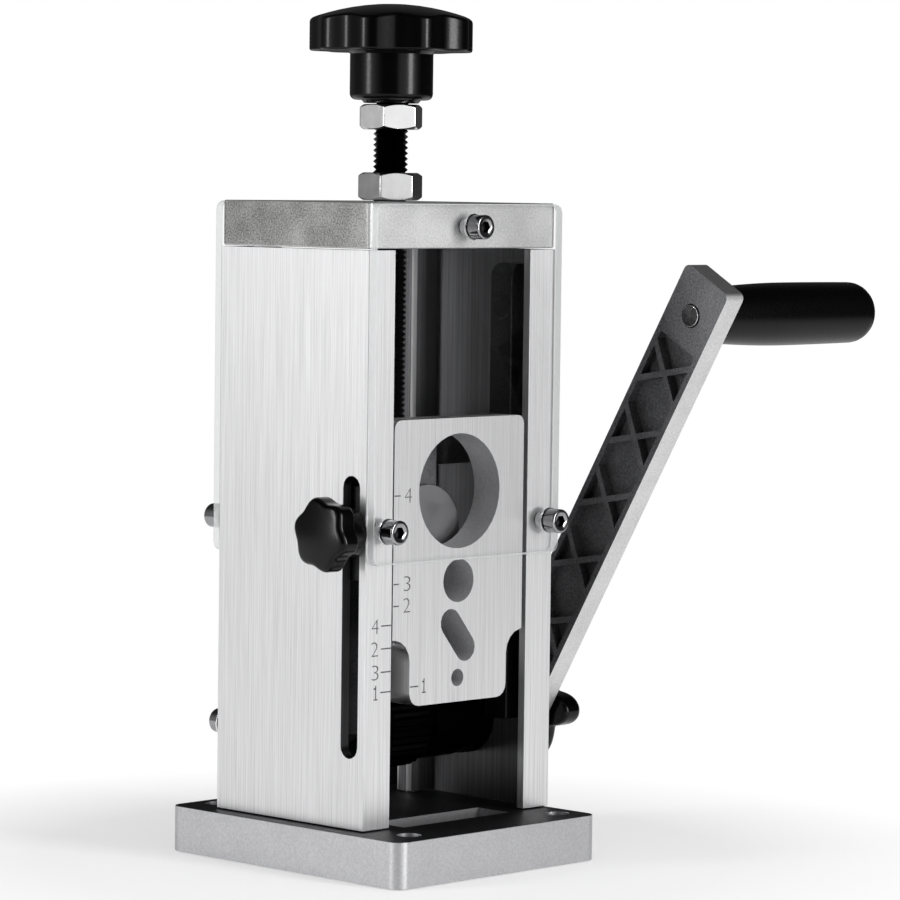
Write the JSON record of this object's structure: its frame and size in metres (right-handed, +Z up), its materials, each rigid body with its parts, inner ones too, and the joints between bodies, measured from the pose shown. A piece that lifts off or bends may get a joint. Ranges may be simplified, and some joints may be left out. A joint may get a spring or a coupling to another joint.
{
  "type": "hand crank wire stripper",
  "caption": "Hand crank wire stripper: a square aluminium column on a base plate with a sliding gauge plate, a round blade on an adjusting screw and a side crank.",
  "frame": {"origin": "underside of the base plate, below the middle of the column", "axes": "+Z up, front face with the gauge plate towards -Y, crank on the right at +X"},
  "size_m": [0.1439, 0.1015, 0.1948],
  "materials": {
    "brushed_aluminium": "brushed",
    "blasted_aluminium": "bead blasted",
    "base_metal": "machined",
    "cast_metal": "die cast",
    "plated_steel": "zinc plated",
    "black_steel": "black oxide",
    "dark_steel": "dark",
    "blade_steel": "ground",
    "black_plastic": "gloss",
    "grip_plastic": "satin",
    "clear_plastic": "clear"
  },
  "bodies": {
    "stand": {"base_plate": "base_metal", "base_screw_left": "plated_steel", "base_screw_right": "plated_steel", "left_channel": "brushed_aluminium", "right_channel": "brushed_aluminium", "top_cap": "blasted_aluminium", "right_guide_bar": "brushed_aluminium", "left_guide_bar": "brushed_aluminium", "front_guard": "clear_plastic", "rear_guard": "clear_plastic", "front_screw_top": "plated_steel", "front_screw_left": "plated_steel", "front_screw_right": "plated_steel", "front_washer_top": "plated_steel", "front_washer_left": "plated_steel", "front_washer_right": "plated_steel", "rear_screw_top": "plated_steel", "rear_screw_left": "plated_steel", "rear_screw_right": "plated_steel", "rear_washer_top": "plated_steel", "rear_washer_left": "plated_steel", "rear_washer_right": "plated_steel", "rear_guide": "brushed_aluminium", "guide_screw_left": "plated_steel", "guide_screw_right": "plated_steel", "guide_washer_left": "plated_steel", "guide_washer_right": "plated_steel", "right_bearing": "black_steel", "left_bearing": "black_steel"},
    "lock_nut": {"lock_nut": "plated_steel"},
    "gauge": {"gauge_plate": "brushed_aluminium", "clamp_block": "brushed_aluminium", "guide_block": "brushed_aluminium", "lock_stud": "plated_steel"},
    "lock_knob": {"lock_knob": "black_plastic"},
    "crank": {"drive_shaft": "plated_steel", "feed_roller": "black_steel", "shaft_collar": "black_steel", "crank_spacer": "plated_steel", "crank_arm": "cast_metal", "grip_spindle": "plated_steel"},
    "grip": {"crank_grip": "grip_plastic"},
    "crank_knob": {"crank_knob": "black_plastic"},
    "carriage": {"blade_carriage": "brushed_aluminium", "blade_shield": "dark_steel", "blade_axle": "plated_steel"},
    "blade": {"round_blade": "blade_steel"},
    "screw": {"adjusting_rod": "black_steel", "upper_nut": "plated_steel", "top_knob": "black_plastic"}
  },
  "joints": [
    {"name": "carriage_slide", "type": "slide", "parent": "stand", "child": "carriage", "axis": [0, 0, 1], "range_m": [-0.0025, 0.0225]},
    {"name": "screw_turn", "type": "hinge", "parent": "carriage", "child": "screw", "pos_m": [0, 0, 0.15], "axis": [0, 0, 1], "range_deg": [-720.1, 6480.1]},
    {"name": "blade_spin", "type": "hinge", "parent": "carriage", "child": "blade", "pos_m": [-0.0005, 0, 0.0572], "axis": [1, 0, 0], "continuous": true},
    {"name": "gauge_slide", "type": "slide", "parent": "stand", "child": "gauge", "axis": [0, 0, 1], "range_m": [-0.029, 0.009]},
    {"name": "lock_knob_turn", "type": "hinge", "parent": "gauge", "child": "lock_knob", "pos_m": [-0.035, -0.0192, 0.0768], "axis": [1, 0, 0], "range_deg": [0, 360]},
    {"name": "lock_nut_turn", "type": "hinge", "parent": "stand", "child": "lock_nut", "pos_m": [0, 0, 0.153], "axis": [0, 0, 1], "range_deg": [0, 360]},
    {"name": "crank_turn", "type": "hinge", "parent": "stand", "child": "crank", "pos_m": [0.035, 0, 0.03], "axis": [1, 0, 0], "continuous": true},
    {"name": "grip_spin", "type": "hinge", "parent": "crank", "child": "grip", "pos_m": [0.075, -0.05566, 0.12488], "axis": [1, 0, 0], "continuous": true},
    {"name": "crank_knob_turn", "type": "hinge", "parent": "crank", "child": "crank_knob", "pos_m": [0.05, 0, 0.03], "axis": [1, 0, 0], "range_deg": [0, 360]}
  ],
  "couplings": [
    {"joint": "screw_turn", "follows": "carriage_slide", "rad_per_m": 5026.5}
  ]
}
